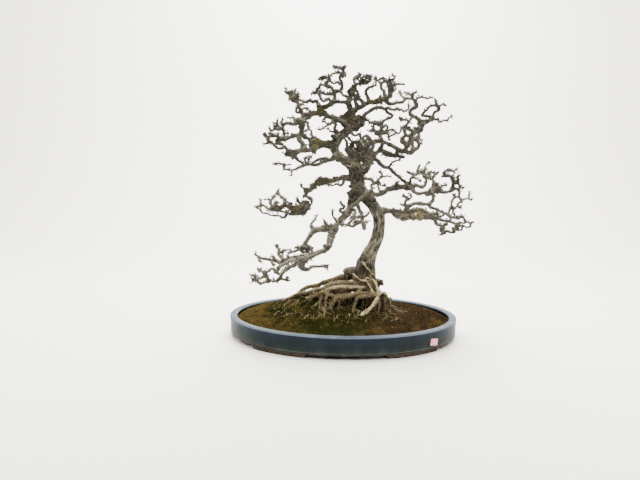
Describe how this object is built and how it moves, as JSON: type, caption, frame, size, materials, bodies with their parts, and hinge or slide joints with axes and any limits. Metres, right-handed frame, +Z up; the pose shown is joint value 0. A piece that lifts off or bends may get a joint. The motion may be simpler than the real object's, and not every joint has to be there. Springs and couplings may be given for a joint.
{
  "type": "bonsai tree",
  "caption": "Leafless che tree bonsai with stilted roots and layered branches, rooted in a mound of mossy soil in a shallow oval glazed pot; stands on a flat surface as a display plant.",
  "frame": {"origin": "middle of the whole's outline in plan, on the plane that the pot's feet stand on", "axes": "+Z up, +X to the right seen from the front, and -Y towards whoever looks at the front of the tree"},
  "size_m": [0.7608, 0.52, 0.8114],
  "materials": {
    "bark": "matte",
    "soil": "matte",
    "glaze": "satin",
    "label": "matte",
    "screen": "matte"
  },
  "bodies": {
    "root": {"tree": "bark", "soil": "soil", "pot": "glaze", "label": "label", "drain_screen_left": "screen", "drain_screen_right": "screen"}
  },
  "joints": []
}
